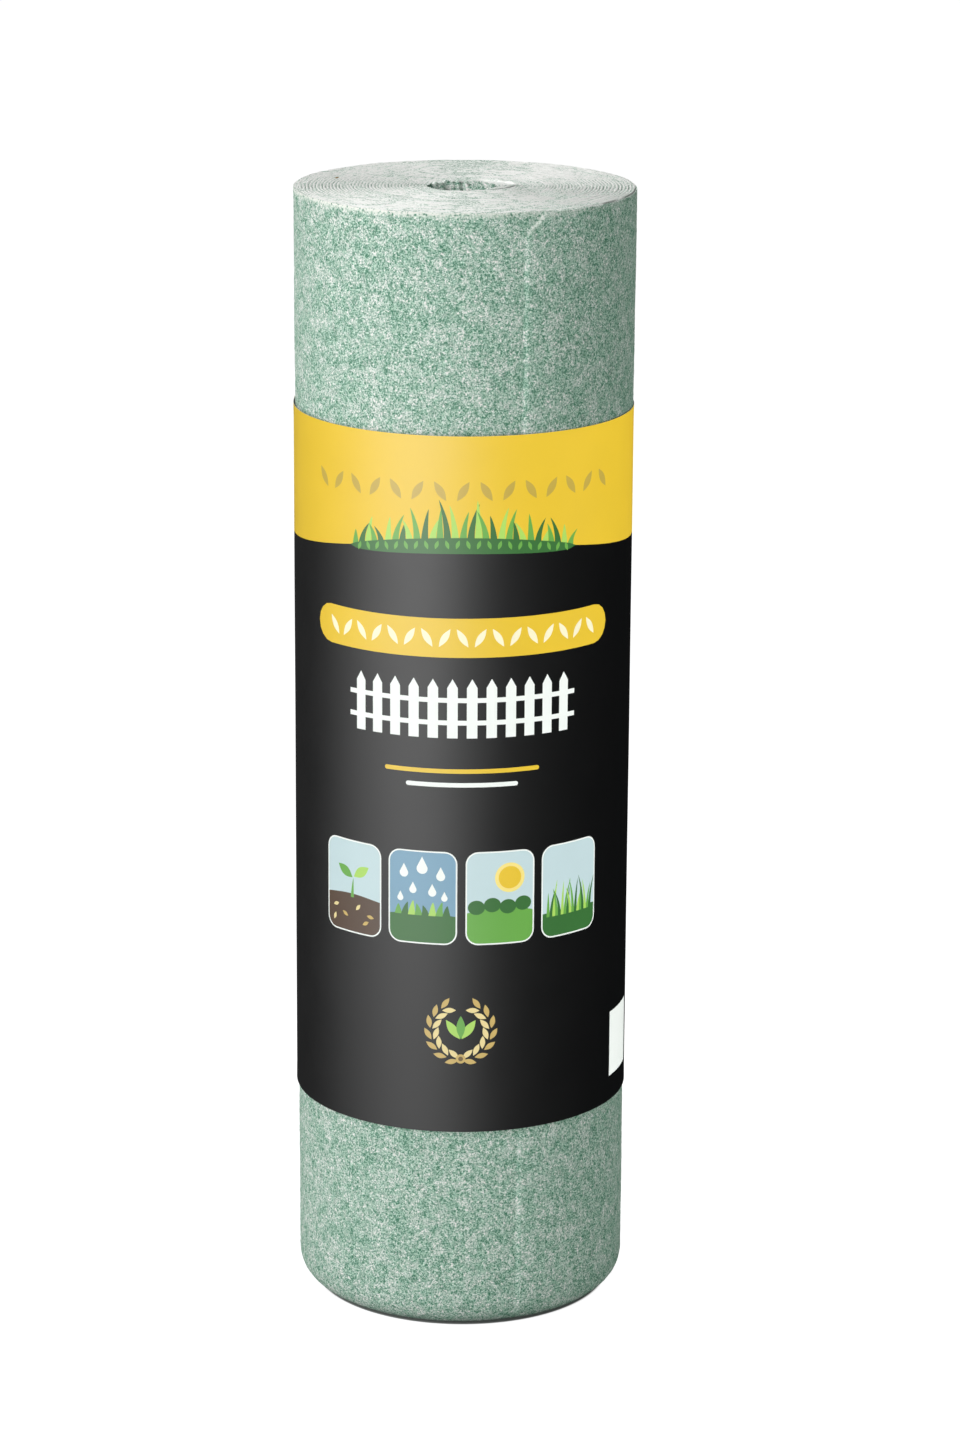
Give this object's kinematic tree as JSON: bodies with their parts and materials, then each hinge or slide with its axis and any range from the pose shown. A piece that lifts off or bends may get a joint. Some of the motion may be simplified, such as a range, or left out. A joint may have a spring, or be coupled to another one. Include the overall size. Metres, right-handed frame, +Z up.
{
  "type": "roll of grass seed mat",
  "caption": "Coreless roll of felt-like grass seed mat standing on its end, with its turns showing on both ends and a thin printed label sleeve round its middle.",
  "frame": {"origin": "centre of the roll's foot, on the floor that it stands on", "axes": "+Z up along the roll's axis, -Y towards the front of the label, +X to the label's right"},
  "size_m": [0.181, 0.181, 0.61],
  "materials": {
    "seed_mat": "matt pressed cellulose felt, mottled pale and dark green with white fibres",
    "label": "satin coated paper, black with a yellow band and small printed motifs"
  },
  "bodies": {
    "root": {"seed_mat_roll": "seed_mat", "label_sleeve": "label"}
  },
  "joints": []
}
